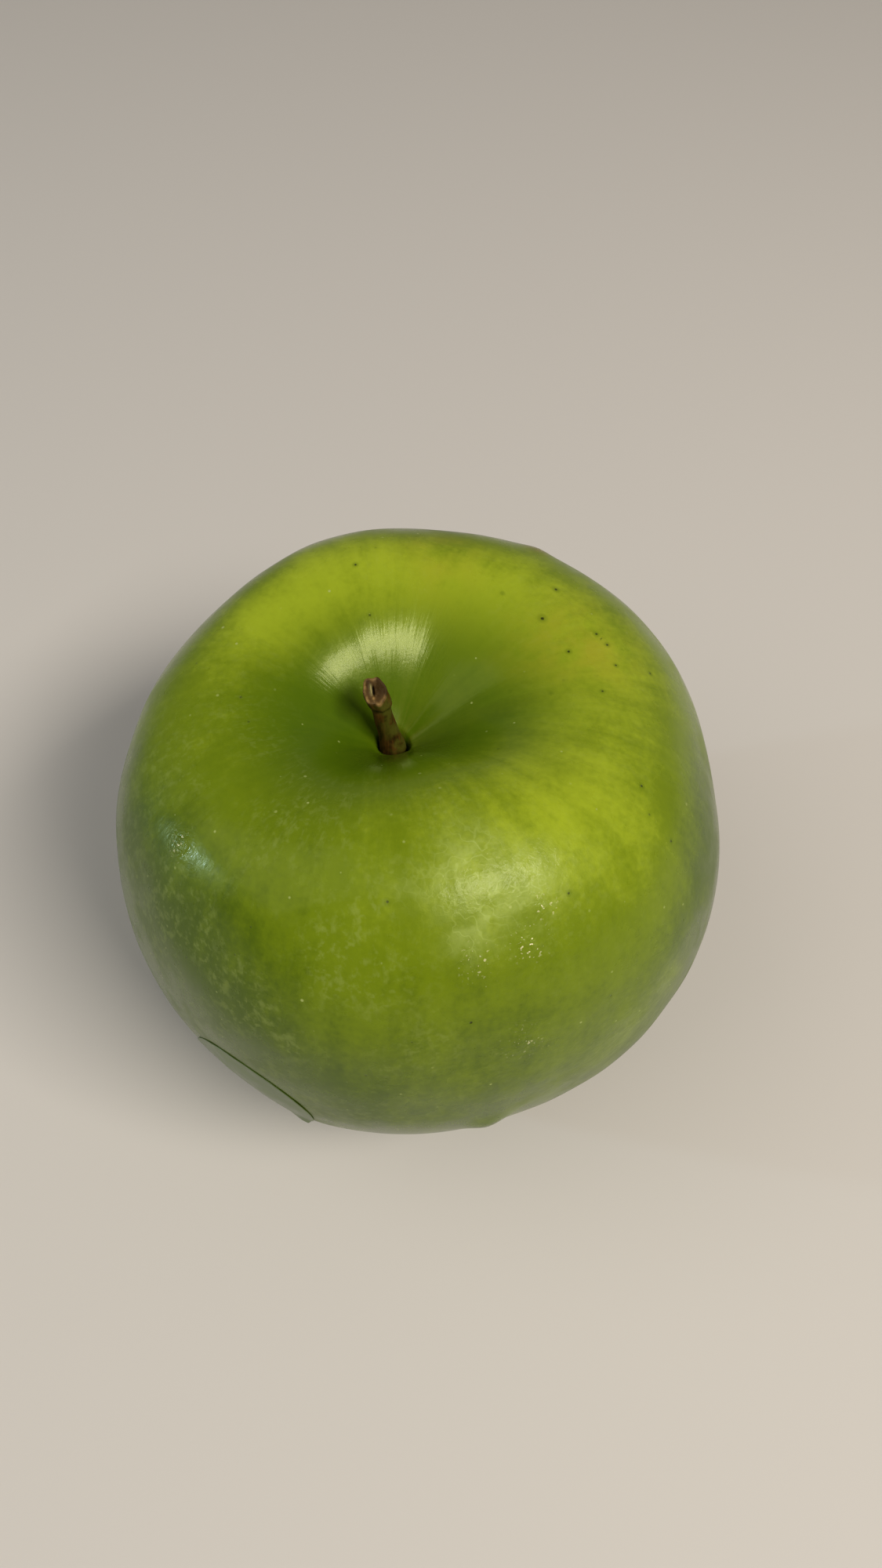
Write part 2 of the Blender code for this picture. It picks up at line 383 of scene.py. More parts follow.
@dataclass(frozen=True)
class FruitShape:
    """The outline of the fruit, as a distance from its centre in every direction.

    The envelope is a superellipse that is blunter at the crown than at the foot. Lobes swell its
    sides and its foot, and two bells sink the stem cavity and the calyx basin into its ends.
    """

    centre: Vector
    half_width: float = 40.0 * MM
    crown_rise: float = 39.9 * MM
    foot_drop: float = 41.0 * MM
    crown_fullness: float = 2.28
    foot_fullness: float = 1.90
    fullness_band: float = 0.35
    cavity_depth: float = 20.9 * MM
    cavity_reach: float = 0.50
    cavity_power: float = 1.90
    valley_stretch: float = 0.20
    valley_angle: float = 20.0
    crown_shift: float = -4.5 * MM
    crown_shift_reach: float = 0.80
    basin_depth: float = 15.0 * MM
    basin_reach: float = 0.355
    basin_power: float = 2.3
    side_lobes: tuple[Lobe, ...] = (
        Lobe(2, 0.034, 46.5),
        Lobe(3, 0.009, 65.0),
        Lobe(4, 0.003, 53.0),
        Lobe(5, 0.010, 42.0),
    )
    foot_lobes: Lobe = Lobe(5, 0.016, 20.0)
    foot_level: float = -0.55
    foot_band: float = 0.25
    tilt: Lobe = Lobe(1, 0.065, 180.0)

    @classmethod
    def from_box(cls, box: tuple[Vector, Vector]) -> "FruitShape":
        """The shape whose foot stands where the CAD fruit's box stands.

        Args:
            box: The lowest and highest corners of the CAD fruit.

        Returns:
            The shape, centred over the middle of the box's base.
        """
        low, high = box
        foot = Vector(((low.x + high.x) / 2.0, (low.y + high.y) / 2.0, low.z))
        return cls(centre=foot + Vector((0.84, 0.14, 33.85)) * MM)

    def hollow(self, polar: Array, azimuth: Array) -> Array:
        """How deep a place is in the stem cavity, from 0 on the shoulders to 1 at the stem."""
        valley = np.cos(2.0 * (azimuth - math.radians(self.valley_angle)))
        return bell(polar / (1.0 + self.valley_stretch * valley), self.cavity_reach, self.cavity_power)

    def radius(self, polar: Array, azimuth: Array) -> Array:
        """The distance of the skin from the centre.

        Args:
            polar: Angle from +Z.
            azimuth: Angle from +X round +Z.

        Returns:
            envelope * (1 + lobes) - cavity - basin.
        """
        across, level = np.abs(np.sin(polar)), np.cos(polar)
        height = np.where(level > 0.0, self.crown_rise, self.foot_drop)
        crown_share = 0.5 * (1.0 + np.tanh(level / self.fullness_band))
        power = self.foot_fullness + (self.crown_fullness - self.foot_fullness) * crown_share
        total = (across / self.half_width) ** power + (np.abs(level) / height) ** power
        envelope = total ** (-1.0 / power)
        foot_share = 0.5 * (1.0 - np.tanh((level - self.foot_level) / self.foot_band))
        sides = sum(lobe.at(azimuth) for lobe in self.side_lobes)
        swelling = 1.0 + across**2 * (1.0 - foot_share) * sides
        swelling = swelling + across * foot_share * self.foot_lobes.at(azimuth)
        swelling = swelling + across * np.maximum(level, 0.0) ** 2 * self.tilt.at(azimuth)
        basin = self.basin_depth * bell(math.pi - polar, self.basin_reach, self.basin_power)
        return envelope * swelling - self.cavity_depth * self.hollow(polar, azimuth) - basin

    def point(self, polar: Array, azimuth: Array, lift: Array | float = 0.0) -> Array:
        """A place on the skin, or over it.

        Args:
            polar: Angle from +Z.
            azimuth: Angle from +X round +Z.
            lift: Height over the skin, along the line from the centre.

        Returns:
            The place, with the crown shifted sideways and the foot pressed flat at the floor.
        """
        radius = self.radius(polar, azimuth) + lift
        place = radius[..., None] * direction_of(polar, azimuth)
        place[..., 0] += self.crown_shift * bell(polar, self.crown_shift_reach)
        place += np.array(self.centre)
        place[..., 2] = np.maximum(place[..., 2], 0.0)
        return place

    def end(self, polar: float) -> Vector:
        """The floor of the stem cavity, at polar angle 0, or of the basin, at pi."""
        return Vector(self.point(np.array([polar]), np.array([0.0]))[0])


@dataclass(frozen=True)
class Patch:
    """A soft round patch on the fruit, with its place and reach in degrees."""

    azimuth: float
    polar: float
    reach: float
    amount: float

    def at(self, directions: Array) -> Array:
        """The patch's strength in each direction: amount * exp(-(angle / reach) ** 2)."""
        middle = direction_of(math.radians(self.polar), math.radians(self.azimuth))
        angle = np.degrees(np.arccos(np.clip(directions @ middle, -1.0, 1.0)))
        return self.amount * bell(angle, self.reach)


def patches(*rows: tuple[float, float, float, float]) -> tuple[Patch, ...]:
    """Several patches, each from its azimuth, polar angle, reach and amount."""
    return tuple(Patch(*row) for row in rows)


def layered(layers: tuple[Patch, ...], directions: Array) -> Array:
    """The sum of several patches in each direction."""
    return sum(patch.at(directions) for patch in layers)


@dataclass(frozen=True)
class Speck:
    """One lenticel that shows by itself: its place in degrees and its width in millimetres."""

    azimuth: float
    polar: float
    width: float


def specks(*rows: tuple[float, float, float]) -> tuple[Speck, ...]:
    """Several lenticels, each from its azimuth, polar angle and width."""
    return tuple(Speck(*row) for row in rows)


@dataclass(frozen=True)
class Lenticels:
    """The pores of the skin: dark ones in set places, and many dark and pale ones at random."""

    known: tuple[Speck, ...] = specks(
        (39.0, 37.0, 0.46), (46.0, 43.0, 0.40), (28.0, 44.0, 0.32), (24.0, 38.0, 0.32),
        (24.0, 45.0, 0.30), (17.0, 45.0, 0.28), (16.0, 52.0, 0.30), (7.0, 33.0, 0.26),
        (7.0, 41.0, 0.26), (278.0, 65.0, 0.36), (264.5, 44.0, 0.30), (337.0, 47.0, 0.30),
        (331.0, 56.0, 0.26), (303.0, 49.0, 0.26), (109.0, 31.0, 0.28), (55.0, 35.0, 0.26),
    )
    count: int = 620
    spacing: float = 2.6 * MM
    dark_share: float = 0.16
    seed: int = 41

    def scatter(self, shape: FruitShape) -> tuple[Array, Array, Array]:
        """Places the lenticels.

        Candidates are drawn evenly over all directions. One that falls too near another that was
        drawn before it is dropped.

        Args:
            shape: The fruit they lie on.

        Returns:
            Their places, their widths, and their tones from -1 (dark) to 1 (pale).
        """
        draw = np.random.default_rng(self.seed)
        known = np.radians([[speck.polar, speck.azimuth] for speck in self.known])
        polar = np.arccos(draw.uniform(-0.97, 0.97, self.count))
        azimuth = draw.uniform(0.0, TURN, self.count)
        polar = np.concatenate([known[:, 0], polar])
        azimuth = np.concatenate([known[:, 1], azimuth])
        places = shape.point(polar, azimuth)
        gaps = np.linalg.norm(places[:, None] - places[None], axis=-1)
        crowded = np.tril(gaps < self.spacing, -1)
        kept = ~crowded.any(axis=1)
        kept[: len(known)] = True
        dark = draw.uniform(0.0, 1.0, len(places)) < self.dark_share
        widths = draw.uniform(0.22, 0.42, len(places)) * MM
        dark_tones = draw.uniform(-0.75, -0.35, len(places))
        tones = np.where(dark, dark_tones, draw.uniform(0.3, 1.0, len(places)))
        widths[: len(known)] = [speck.width * MM for speck in self.known]
        tones[: len(known)] = -1.0
        return places[kept], widths[kept], tones[kept]


@dataclass(frozen=True)
class SkinFinish:
    """Waxed apple skin: clear yellow-green over deeper green, with a wet, slightly hazy gloss."""

    # Greens from the least to the most ripe, also laid as painted light and shade, then the cavity's
    # deeper green with painted shade, the blush and the russet
    deep: str = "#465B08"
    middle: str = "#6C7F0E"
    ripe: str = "#9DAD25"
    # The cavity's deeper green, partly its own colour and partly painted shade in the hollow
    hollow: str = "#445E04"
    blush: str = "#9C8428"
    russet: str = "#7A6A2C"
    # Lenticels, and the darker green round the dark ones
    pale_speck: str = "#A9B468"
    dark_speck: str = "#2C3406"
    halo: str = "#4A6006"
    # Dried wax: fine bloom, a smeared film that is also a painted highlight, and loose grains drawn as
    # painted glints
    bloom: str = "#9BA85A"
    wax_film_and_painted_highlight: str = "#A8B863"
    grain: str = "#FBF3C4"
    # The wet look: roughness where the wax is whole and where it is rubbed, and the clear coat
    sheen: str = "#DCE68A"
    gloss: float = 0.24
    haze: float = 0.46
    ior: float = 1.38
    specular: float = 0.52
    coat: float = 0.10
    coat_roughness: float = 0.12
    coat_ior: float = 1.45
    # Light that enters the flesh and comes out greener
    scatter: float = 0.18
    scatter_depth: float = 2.2 * MM
    scatter_share: tuple[float, float, float] = (1.0, 0.8, 0.2)
    # How much of what is below each layer hides
    hollow_painted_shade_cover: float = 0.85
    halo_cover: float = 0.45
    bloom_cover: float = 0.30
    # Nothing of a lenticel is drawn beyond this distance from it
    speck_limit: float = 1.15 * MM
    speck_fade: float = 0.30 * MM
    # The fields of the mesh that are single numbers
    fields: tuple[str, ...] = (
        "ripeness_and_painted_light", "hollow", "blush", "russet", "wrinkles", "wax_film_and_painted_highlight", "grit_and_painted_glints", "bloom", "brushing",
        "speck_distance", "speck_width", "speck_tone",
    )
    # Noise over the skin: its name, the size of its features in millimetres and its finer layers
    noises: tuple[tuple[str, float, float], ...] = (
        ("mottle", 4.5, 5.0), ("fleck", 0.8, 3.0), ("dust", 0.9, 2.0), ("patches", 9.0, 3.0),
        ("rubbing", 9.0, 5.0), ("cloud", 2.4, 3.0), ("curls", 1.7, 1.0), ("painted_glints", 0.42, 1.0),
        ("folds", 1.0, 2.0), ("crumple", 1.9, 6.0), ("grit_lumps", 0.9, 3.0), ("peel", 0.6, 3.0),
    )
    # Noise drawn out along the meridians: its name, features per radian and finer layers
    streaks: tuple[tuple[str, float, float], ...] = (("streaks", 9.0, 5.0), ("strokes", 22.0, 4.0))
    short_streaks: float = 30.0
    short_stretch: float = 3.4
    noise_roughness: float = 0.55
    # How much each noise changes the ripe tone and its painted light
    swings: tuple[tuple[str, float], ...] = (("streaks", 0.46), ("mottle", 0.40), ("fleck", 0.30))
    # Heights of the fine relief in millimetres, each with the noise and the field that make it
    relief: tuple[tuple[str, str, float], ...] = (
        ("folds", "wrinkles", 0.007), ("crumple", "wrinkles", 0.12), ("grit_lumps", "grit_and_painted_glints", 0.36),
        ("strokes", "brushing", 0.036),
    )
    peel_height: float = 0.012
    pit_depth: float = 0.05

    def make(self) -> bpy.types.Material:
        """Builds the material from the fields that the skin's mesh carries."""
        graph = Graph("waxed_apple_skin")
        read = self.read_all(graph)
        colour = self.greens(graph, read)
        colour, pits = self.add_lenticels(graph, read, colour)
        colour, flecks = self.add_bloom(graph, read, colour)
        colour = self.add_film_and_highlight(graph, read, colour)
        normal = graph.add_node(Kind.BUMP, self.height(graph, read, pits), MM, 1.0)
        return graph.shade(
            self.middle,
            {
                "Base Color": colour,
                "Roughness": self.roughness(graph, read, flecks),
                "IOR": self.ior,
                "Specular IOR Level": self.specular,
                "Specular Tint": self.sheen,
                "Coat Weight": self.coat,
                "Coat Roughness": self.coat_roughness,
                "Coat IOR": self.coat_ior,
                "Subsurface Weight": self.scatter,
                "Subsurface Radius": self.scatter_share,
                "Subsurface Scale": self.scatter_depth,
                "Normal": normal,
                "Coat Normal": normal,
            },
        )

    def read_all(self, graph: Graph) -> Sockets:
        """The fields of the mesh and the noises, by name."""
        add = graph.add_node
        read = {name: add(Kind.FIELD, attribute_name=name) for name in self.fields}
        meridian = add(Kind.VECTOR_FIELD, attribute_name="meridian")
        short = add(Kind.STRETCH, meridian, (1.0, 1.0, self.short_stretch))
        place = add(Kind.PLACE)
        rows = [(place, name, per_metre(size), detail) for name, size, detail in self.noises]
        rows += [(meridian, *row) for row in self.streaks]
        rows.append((short, "short_strokes", self.short_streaks, 4.0))
        for vector, name, scale, detail in rows:
            read[name] = add(Kind.NOISE, vector, scale, detail, self.noise_roughness)
        return read

    def greens(self, graph: Graph, read: Sockets) -> Socket:
        """Greens that follow the ripe tone and its painted light, then the cavity's deeper green with
        painted shade, the blush and the russet.
        """
        add = graph.add_node
        swings = [add(Kind.MULTIPLY_ADD, read[name], size, -size / 2.0) for name, size in self.swings]
        ripeness_and_painted_light = graph.chain(Kind.ADD, read["ripeness_and_painted_light"], *swings)
        colour = add(Kind.LAYER, add(Kind.REMAP, ripeness_and_painted_light, 0.0, 0.5), self.deep, self.middle)
        colour = add(Kind.LAYER, add(Kind.REMAP, ripeness_and_painted_light, 0.45, 1.05), colour, self.ripe)
        # Painted shade: the cavity is laid in the deeper green, strongest towards the stem
        shade = add(Kind.MULTIPLY, read["hollow"], self.hollow_painted_shade_cover)
        colour = add(Kind.LAYER, shade, colour, self.hollow)
        flush = add(Kind.MULTIPLY, read["blush"], add(Kind.REMAP, read["mottle"], 0.3, 0.7))
        colour = add(Kind.LAYER, flush, colour, self.blush)
        corky = add(Kind.MULTIPLY, read["russet"], add(Kind.REMAP, read["streaks"], 0.35, 0.6))
        return add(Kind.LAYER, corky, colour, self.russet)

    def add_lenticels(self, graph: Graph, read: Sockets, colour: Socket) -> tuple[Socket, Socket]:
        """Lays the lenticels over a colour.

        Half-way between two lenticels the interpolated offsets cancel out, so only what is near a
        lenticel is drawn.

        Args:
            graph: The material's graph.
            read: The fields and noises.
            colour: The skin's colour so far.

        Returns:
            The new colour, and a value that is 1 in the middle of the dark lenticels.
        """
        add = graph.add_node
        length = add(Kind.LENGTH, add(Kind.VECTOR_FIELD, attribute_name="speck_offset"))
        reach = add(Kind.DIVIDE, length, read["speck_width"])
        fade_from = self.speck_limit - self.speck_fade
        near = add(Kind.REMAP, read["speck_distance"], fade_from, self.speck_limit, 1.0, 0.0)
        core = add(Kind.MULTIPLY, add(Kind.REMAP, reach, 0.30, 0.62, 1.0, 0.0), near)
        ring = add(Kind.MULTIPLY, add(Kind.REMAP, reach, 0.4, 2.2, 1.0, 0.0), near)
        darkness = add(Kind.REMAP, read["speck_tone"], -1.0, -0.2, 1.0, 0.0)
        paleness = add(Kind.REMAP, read["speck_tone"], 0.2, 1.3)
        around = graph.chain(Kind.MULTIPLY, ring, darkness, self.halo_cover)
        colour = add(Kind.LAYER, around, colour, self.halo)
        colour = add(Kind.LAYER, add(Kind.MULTIPLY, core, paleness), colour, self.pale_speck)
        dark = add(Kind.MULTIPLY, core, darkness)
        return add(Kind.LAYER, dark, colour, self.dark_speck), dark

    def add_bloom(self, graph: Graph, read: Sockets, colour: Socket) -> tuple[Socket, Socket]:
        """Lays short pale strokes and dust of dried wax over a colour.

        Args:
            graph: The material's graph.
            read: The fields and noises.
            colour: The skin's colour so far.

        Returns:
            The new colour, and how much bloom lies on each place.
        """
        add = graph.add_node
        dust = add(Kind.REMAP, read["dust"], 0.52, 0.74)
        strokes = add(Kind.REMAP, read["short_strokes"], 0.50, 0.72)
        patchy = add(Kind.REMAP, read["patches"], 0.38, 0.62)
        either = add(Kind.MAXIMUM, dust, strokes)
        flecks = graph.chain(Kind.MULTIPLY, either, patchy, read["bloom"])
        cover = add(Kind.MULTIPLY, flecks, self.bloom_cover)
        return add(Kind.LAYER, cover, colour, self.bloom), flecks

    def add_film_and_highlight(self, graph: Graph, read: Sockets, colour: Socket) -> Socket:
        """Lays over a colour a cloudy film of wax, full of curls, that is partly a painted highlight,
        and a few grains drawn as painted glints.
        """
        add = graph.add_node
        # Painted highlight: a pale cloudy film where the key lamp's reflection lies, partly real wax
        # film
        cloudy = add(Kind.REMAP, read["cloud"], 0.36, 0.62, 0.25, 0.75)
        broken = add(Kind.ADD, cloudy, graph.worms(read["curls"], 0.035, 0.45))
        film = add(Kind.MULTIPLY, broken, read["wax_film_and_painted_highlight"], use_clamp=True)
        colour = add(Kind.LAYER, film, colour, self.wax_film_and_painted_highlight)
        # Painted glints: pale-gold wax grains where the key lamp's sparkles fall
        painted_glints = add(Kind.MULTIPLY, add(Kind.REMAP, read["painted_glints"], 0.65, 0.70), read["grit_and_painted_glints"])
        return add(Kind.LAYER, painted_glints, colour, self.grain)

    def roughness(self, graph: Graph, read: Sockets, flecks: Socket) -> Socket:
        """How dull the wax is: rubbed in patches, folds and bloom, but not inside the cavity."""
        add = graph.add_node
        rubbed = add(Kind.MULTIPLY, add(Kind.REMAP, read["rubbing"], 0.36, 0.66), 0.7)
        folded = add(Kind.MULTIPLY, read["wrinkles"], 0.8)
        sheltered = add(Kind.REMAP, read["hollow"], 0.0, 0.6, 1.0, 0.2)
        dull = add(Kind.MULTIPLY, graph.chain(Kind.MAXIMUM, rubbed, flecks, folded), sheltered)
        return add(Kind.REMAP, dull, 0.0, 1.0, self.gloss, self.haze)

    def height(self, graph: Graph, read: Sockets, pits: Socket) -> Socket:
        """The fine relief in millimetres: the noises by their fields + peel - pores."""
        read = read | {"folds": graph.worms(read["folds"], 0.10)}
        parts = [graph.chain(Kind.MULTIPLY, read[a], read[b], size) for a, b, size in self.relief]
        parts.append(graph.add_node(Kind.MULTIPLY, read["peel"], self.peel_height))
        parts.append(graph.add_node(Kind.MULTIPLY, pits, -self.pit_depth))
        return graph.chain(Kind.ADD, *parts)


@dataclass
class Fruit:
    """The apple's body: one closed skin with its cavity, basin, folds and pores."""

    shape: FruitShape
    finish: SkinFinish = field(default_factory=SkinFinish)
    lenticels: Lenticels = field(default_factory=Lenticels)
    rows: int = 258
    columns: int = 384
    pole_crowding: float = 0.45
    socket_radius: float = 2.00 * MM
    socket_depth: float = 4.9 * MM
    bead_height: float = 0.06 * MM
    socket_edge: float = 0.12 * MM
    bead_gap: float = 0.45 * MM
    bead_reach: float = 0.30 * MM
    undulation: float = 0.12 * MM
    flute_depth: float = 0.025 * MM
    scar: Patch = Patch(61.0, 52.0, 3.0, 0.36 * MM)
    scar_russet: Patch = Patch(61.0, 52.0, 2.4, 0.8)
    bulge: Patch = Patch(281.0, 103.0, 3.6, 0.65 * MM)
    # How the ripe tone moves from place to place: partly the real colour, partly painted light where
    # shaded places are lifted and painted shade where lit places are lowered
    tone_and_painted_light_patches: tuple[Patch, ...] = patches(
        (78.0, 30.0, 16.0, 0.42), (0.0, 38.0, 22.0, 0.30), (205.0, 42.0, 22.0, 0.20),
        (256.0, 60.0, 16.0, 0.14), (312.0, 40.0, 20.0, 0.22), (116.0, 33.0, 13.0, 0.34),
        (40.0, 36.0, 18.0, 0.30), (148.0, 32.0, 11.0, 0.46), (180.0, 20.0, 14.0, -0.34),
        (88.0, 52.0, 17.0, -0.44), (140.0, 62.0, 22.0, -0.30), (352.0, 62.0, 18.0, -0.24),
        (225.0, 54.0, 26.0, -0.22), (205.0, 78.0, 30.0, -0.28), (240.0, 82.0, 26.0, -0.16),
        (340.0, 84.0, 26.0, -0.16), (45.0, 80.0, 30.0, -0.12),
    )
    blush_patches: tuple[Patch, ...] = patches(
        (30.0, 38.0, 9.0, 0.26), (20.0, 44.0, 8.0, 0.22), (79.0, 36.0, 7.0, 0.26),
    )
    wrinkle_patches: tuple[Patch, ...] = patches(
        (293.0, 43.0, 13.0, 1.0), (288.0, 52.0, 12.0, 0.7), (216.0, 53.0, 5.0, 0.4),
        (310.0, 92.0, 22.0, 0.6),
    )
    # Where the film lies: on the broad highlight of the front shoulder and the streaky reflection low
    # on the right, so it is partly a painted highlight
    film_and_highlight_patches: tuple[Patch, ...] = patches(
        (287.0, 38.5, 5.0, 0.45), (297.0, 44.0, 4.5, 0.65), (289.0, 44.5, 5.5, 0.45),
        (281.0, 47.5, 4.5, 0.45), (277.0, 40.5, 3.5, 0.30), (269.0, 42.0, 3.5, 0.18),
        (286.0, 35.5, 3.5, 0.25), (279.5, 51.0, 3.0, 0.30), (308.0, 88.0, 7.0, 0.26),
        (318.0, 81.0, 6.0, 0.26),
    )
    # Where the grit lies: lumps in the relief, and painted glints in the colour, both at the sparkles
    # of the highlights
    grit_and_glint_patches: tuple[Patch, ...] = patches(
        (291.5, 53.5, 2.2, 1.0), (297.0, 49.0, 1.6, 0.8), (281.0, 54.0, 2.6, 0.5),
        (287.0, 73.0, 3.0, 0.5), (214.0, 52.5, 2.0, 0.7),
    )
    bloom_patches: tuple[Patch, ...] = patches(
        (230.0, 60.0, 34.0, 0.9), (290.0, 43.0, 11.0, 1.0), (250.0, 80.0, 30.0, 0.25),
    )

    def build(self) -> bpy.types.Object:
        """Builds the skin in place of the CAD body."""
        share = np.linspace(0.0, 1.0, self.rows)
        rows = math.pi * (share - self.pole_crowding * np.sin(TURN * share) / TURN)
        polar, azimuth = np.meshgrid(rows, round_angles(self.columns), indexing="ij")
        vertices, faces = closed_lattice(self.skin(polar, azimuth))
        fields = {name: lattice_values(values) for name, values in self.fields(polar, azimuth).items()}
        fields |= self.speck_fields(vertices)
        skin = make_piece("apple_body", vertices, faces, self.finish.make(), fields)
        settle(skin, "apple_skin", "fruit_body")
        return skin

    def skin(self, polar: Array, azimuth: Array, lift: Array | float = 0.0) -> Array:
        """A place on the finished skin, or a lift over it, in each direction."""
        return self.shape.point(polar, azimuth, self.relief(polar, azimuth) + lift)

    def relief(self, polar: Array, azimuth: Array) -> Array:
        """The lift of the skin over the plain shape.

        Args:
            polar: Angle from +Z.
            azimuth: Angle from +X.

        Returns:
            Undulation + flutes - socket + bead + scar + bulge, in metres.
        """
        directions = direction_of(polar, azimuth)
        out = self.shape.radius(polar, azimuth) * np.sin(polar)
        gentle = WaveNoise(0.55, 11).at(directions) * 0.75 + WaveNoise(0.28, 12).at(directions) * 0.25
        calm = smooth_step(polar, 0.10, 0.45) * smooth_step(polar, math.pi - 0.12, math.pi - 0.5)
        grooves = WaveNoise(0.9, 13).at(spiral(azimuth, 0.2 * polar) * 2.6)
        inside = bell(polar - 0.28, 0.26) * smooth_step(out, 2.4 * MM, 5.0 * MM)
        under = math.pi - polar
        inside = inside + bell(under - 0.28, 0.22) * smooth_step(out, 2.0 * MM, 5.0 * MM) * 2.2
        upper = polar < 0.5 * math.pi
        from_wall = out - self.socket_radius
        socket = upper * smooth_step(from_wall, self.socket_edge, -self.socket_edge)
        bead = upper * bell(from_wall - self.bead_gap, self.bead_reach)
        lip = WaveNoise(0.8, 14).at(directions * 12.0) * 0.35 + 1.0
        return (
            self.undulation * gentle * calm
            + self.flute_depth * grooves * inside
            - self.socket_depth * socket
            + self.bead_height * bead * lip
            + self.scar.at(directions)
            + self.bulge.at(directions)
        )

    def fields(self, polar: Array, azimuth: Array) -> dict[str, Array]:
        """The values that steer the skin's material, one for each place.

        Args:
            polar: Angle from +Z.
            azimuth: Angle from +X.

        Returns:
            meridian (a vector), ripe tone with painted light, hollow, blush, russet, wrinkles,
            wax film with painted highlight, wax grains with painted glints, bloom and brushing.
        """
        directions = direction_of(polar, azimuth)
        hollow = self.shape.hollow(polar, azimuth)
        broad = WaveNoise(0.9, 21).at(directions)
        # Painted light and shade over the real tone: lighter towards the top, darker down the sides and
        # below
        light = 0.24 + 0.22 * directions[..., 2] + 0.14 * bell(polar - 0.72, 0.34)
        ripeness_and_painted_light = light + layered(self.tone_and_painted_light_patches, directions) + 0.05 * broad
        basin = bell(math.pi - polar, 0.36, 2.3)
        ripeness_and_painted_light = ripeness_and_painted_light - 0.10 * basin
        return {
            "meridian": spiral(azimuth, 0.26 * polar),
            "ripeness_and_painted_light": ripeness_and_painted_light,
            "hollow": np.clip(smooth_step(hollow, 0.10, 0.62), 0.0, 1.0),
            "blush": layered(self.blush_patches, directions),
            "russet": 0.32 * bell(polar, 0.16) * (0.6 + 0.4 * np.cos(azimuth - 0.5))
            + self.scar_russet.at(directions),
            "wrinkles": np.clip(0.10 + layered(self.wrinkle_patches, directions), 0.0, 1.0),
            "wax_film_and_painted_highlight": np.clip(layered(self.film_and_highlight_patches, directions), 0.0, 0.7),
            "grit_and_painted_glints": np.clip(layered(self.grit_and_glint_patches, directions), 0.0, 1.0),
            "bloom": np.clip(0.20 + layered(self.bloom_patches, directions), 0.0, 1.0)
            * smooth_step(hollow, 0.75, 0.25),
            "brushing": smooth_step(polar, 0.16, 0.34) * smooth_step(polar, 2.9, 2.4),
        }

    def speck_fields(self, vertices: Array) -> dict[str, Array]:
        """The nearest lenticel of each vertex: the way from it, its distance, width and tone."""
        places, widths, tones = self.lenticels.scatter(self.shape)
        gaps = (
            (vertices**2).sum(axis=1)[:, None]
            - 2.0 * vertices @ places.T
            + (places**2).sum(axis=1)[None]
        )
        nearest = gaps.argmin(axis=1)
        return {
            "speck_offset": vertices - places[nearest],
            "speck_distance": np.linalg.norm(vertices - places[nearest], axis=1),
            "speck_width": widths[nearest],
            "speck_tone": tones[nearest],
        }


# --- The stem ---


@dataclass(frozen=True)
class StemFinish:
    """Dry brown stalk with an olive skin, and a paler, fibrous cut end."""

    bark: str = "#4B3209"
    shade: str = "#281B04"
    olive: str = "#4A4A12"
    rim: str = "#8E7040"
    core: str = "#38270C"
    fibre: str = "#A09560"
    # Near-black painted shade inside the slit of the cut
    slit: str = "#160D04"
    # Dry wood scatters light widely, least where the fibres stand up
    roughness: tuple[float, float] = (0.50, 0.78)
    specular: float = 0.12
    fibre_height: float = 0.10 * MM

    def make(self) -> bpy.types.Material:
        """Builds the material from the fields that the stem's mesh carries."""
        graph = Graph("apple_stem_wood")
        add = graph.add_node
        names = ("cut", "rim", "fibre", "slit", "olive")
        read = {name: add(Kind.FIELD, attribute_name=name) for name in names}
        place = add(Kind.PLACE)
        along = add(Kind.STRETCH, place, (1.0, 1.0, 0.22))
        fibres = add(Kind.NOISE, along, per_metre(0.45), 4.0)
        blotches = add(Kind.NOISE, place, per_metre(1.7), 4.0)
        bark = add(Kind.LAYER, add(Kind.REMAP, fibres, 0.35, 0.62), self.shade, self.bark)
        green = add(Kind.MULTIPLY, read["olive"], add(Kind.REMAP, blotches, 0.35, 0.6))
        bark = add(Kind.LAYER, green, bark, self.olive)
        cut = add(Kind.LAYER, add(Kind.REMAP, blotches, 0.4, 0.6), self.core, self.rim)
        cut = add(Kind.LAYER, read["rim"], self.core, cut)
        cut = add(Kind.LAYER, read["fibre"], cut, self.fibre)
        # Painted shade: the slit is drawn near black
        cut = add(Kind.LAYER, read["slit"], cut, self.slit)
        return graph.shade(
            self.bark,
            {
                "Base Color": add(Kind.LAYER, read["cut"], bark, cut),
                "Roughness": add(Kind.REMAP, fibres, 0.3, 0.7, *self.roughness),
                "Specular IOR Level": self.specular,
                "Normal": add(Kind.BUMP, fibres, self.fibre_height, 1.0),
            },
        )


